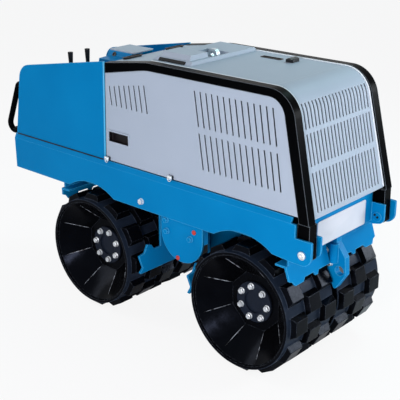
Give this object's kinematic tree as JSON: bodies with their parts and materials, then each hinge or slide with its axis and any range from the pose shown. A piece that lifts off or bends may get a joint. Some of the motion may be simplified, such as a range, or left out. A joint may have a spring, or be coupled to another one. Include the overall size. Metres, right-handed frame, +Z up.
{
  "type": "trench roller",
  "caption": "Walk-behind padfoot trench roller: half-width drums on two axles that turn freely, rigid chassis, and a hood that tilts forward over the engine.",
  "frame": {"origin": "on the ground under the middle of the overall length and width", "axes": "+X forward to the grille, +Y to the machine's left, +Z up"},
  "size_m": [1.9139, 0.66, 1.258],
  "materials": {
    "blue_paint": "gloss machine blue",
    "drum_black": "gloss black on steel",
    "engine_grey": "dark casting",
    "eye_steel": "pale painted steel",
    "guard_black": "gloss black",
    "handle_black": "black grips and coated tube",
    "hub_grey": "dark grey satin",
    "latch_metal": "black latch",
    "leg_black": "black",
    "light_grey": "light grey",
    "pin_steel": "zinc plated",
    "silver_paint": "silver metallic coat"
  },
  "bodies": {
    "chassis": {"bulkhead": "blue_paint", "chassis_floor": "blue_paint", "console_lid": "light_grey", "control_console": "blue_paint", "control_deck": "blue_paint", "drive_levers": "handle_black", "engine_block": "engine_grey", "front_drum_leg": "leg_black", "front_panel": "blue_paint", "front_scraper": "blue_paint", "hood_pins": "pin_steel", "inner_scrapers": "blue_paint", "lifting_frame": "eye_steel", "rear_box_back": "blue_paint", "rear_box_side_left": "blue_paint", "rear_box_side_right": "blue_paint", "rear_cross_plate": "blue_paint", "rear_drum_leg": "leg_black", "rear_handle": "handle_black", "rear_scraper": "blue_paint", "side_guard_plates": "blue_paint", "side_skirt_left": "blue_paint", "side_skirt_right": "blue_paint", "tow_lug": "blue_paint"},
    "hood": {"hood_bulge": "silver_paint", "hood_grille": "silver_paint", "hood_guard_left": "guard_black", "hood_guard_right": "guard_black", "hood_latches": "latch_metal", "hood_roof": "silver_paint", "hood_side_left": "silver_paint", "hood_side_right": "silver_paint"},
    "front_right_drum": {"front_drum_right": "drum_black", "front_dish_right": "drum_black", "front_hub_right": "hub_grey"},
    "front_left_drum": {"front_drum_left": "drum_black", "front_dish_left": "drum_black", "front_hub_left": "hub_grey"},
    "rear_right_drum": {"rear_drum_right": "drum_black", "rear_dish_right": "drum_black", "rear_hub_right": "hub_grey"},
    "rear_left_drum": {"rear_drum_left": "drum_black", "rear_dish_left": "drum_black", "rear_hub_left": "hub_grey"}
  },
  "joints": [
    {"name": "hood_tilt", "type": "hinge", "parent": "chassis", "child": "hood", "pos_m": [0.918, 0, 0.61], "axis": [0, 1, 0], "range_deg": [0, 60]},
    {"name": "front_right_drum_spin", "type": "hinge", "parent": "chassis", "child": "front_right_drum", "pos_m": [0.621, 0, 0.28], "axis": [0, 1, 0], "continuous": true},
    {"name": "front_left_drum_spin", "type": "hinge", "parent": "chassis", "child": "front_left_drum", "pos_m": [0.621, 0, 0.28], "axis": [0, 1, 0], "continuous": true},
    {"name": "rear_right_drum_spin", "type": "hinge", "parent": "chassis", "child": "rear_right_drum", "pos_m": [-0.283, 0, 0.28], "axis": [0, 1, 0], "continuous": true},
    {"name": "rear_left_drum_spin", "type": "hinge", "parent": "chassis", "child": "rear_left_drum", "pos_m": [-0.283, 0, 0.28], "axis": [0, 1, 0], "continuous": true}
  ]
}
